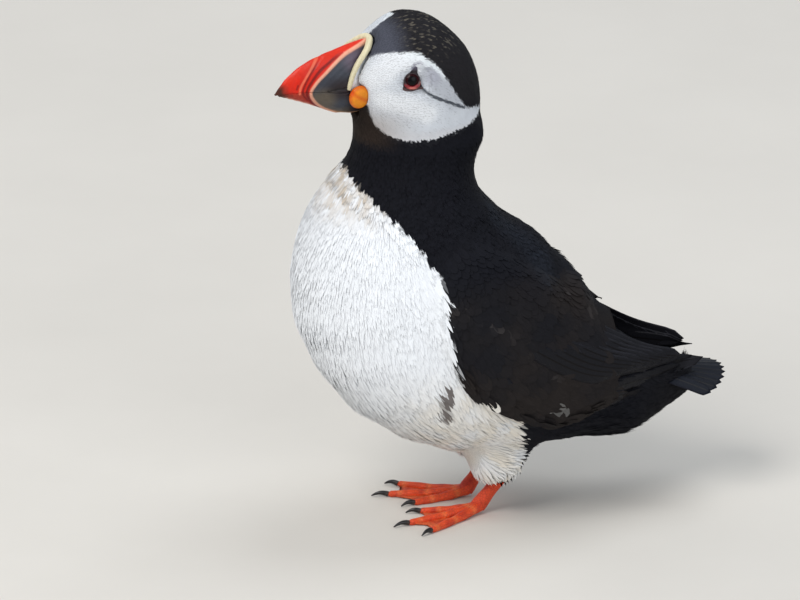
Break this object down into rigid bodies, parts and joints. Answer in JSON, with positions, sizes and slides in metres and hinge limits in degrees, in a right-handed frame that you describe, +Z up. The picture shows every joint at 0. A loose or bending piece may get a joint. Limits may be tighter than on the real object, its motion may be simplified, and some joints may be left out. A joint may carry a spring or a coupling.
{
  "type": "atlantic puffin model",
  "caption": "Still, life-size museum model of a standing Atlantic puffin with a banded orange bill, pale face, folded black wings, white breast and webbed orange feet.",
  "frame": {"origin": "centre of the floor under the bird's whole box, at the level of its soles", "axes": "+Z up; the bird faces -Y, and its own left side is +X"},
  "size_m": [0.1036, 0.2102, 0.237],
  "materials": {
    "slate_feathers": "matte",
    "black_feathers": "matte",
    "white_feathers": "matte",
    "bill_horn": "satin",
    "rim_skin": "matte",
    "rosette_skin": "satin",
    "eye": "gloss",
    "leg_skin": "satin",
    "claw": "satin"
  },
  "bodies": {
    "root": {"head": "slate_feathers", "neck": "black_feathers", "trunk": "white_feathers", "wing_left": "black_feathers", "wing_right": "black_feathers", "primaries_left": "black_feathers", "primaries_right": "black_feathers", "tail": "black_feathers", "thigh_left": "white_feathers", "thigh_right": "white_feathers", "bill_upper": "bill_horn", "bill_lower": "bill_horn", "bill_rim": "rim_skin", "rosette_left": "rosette_skin", "rosette_right": "rosette_skin", "eye_left": "eye", "eye_right": "eye", "foot_left": "leg_skin", "foot_right": "leg_skin", "tarsus_left": "leg_skin", "tarsus_right": "leg_skin", "claw_left_inner": "claw", "claw_left_middle": "claw", "claw_left_outer": "claw", "claw_right_inner": "claw", "claw_right_middle": "claw", "claw_right_outer": "claw"}
  },
  "joints": []
}
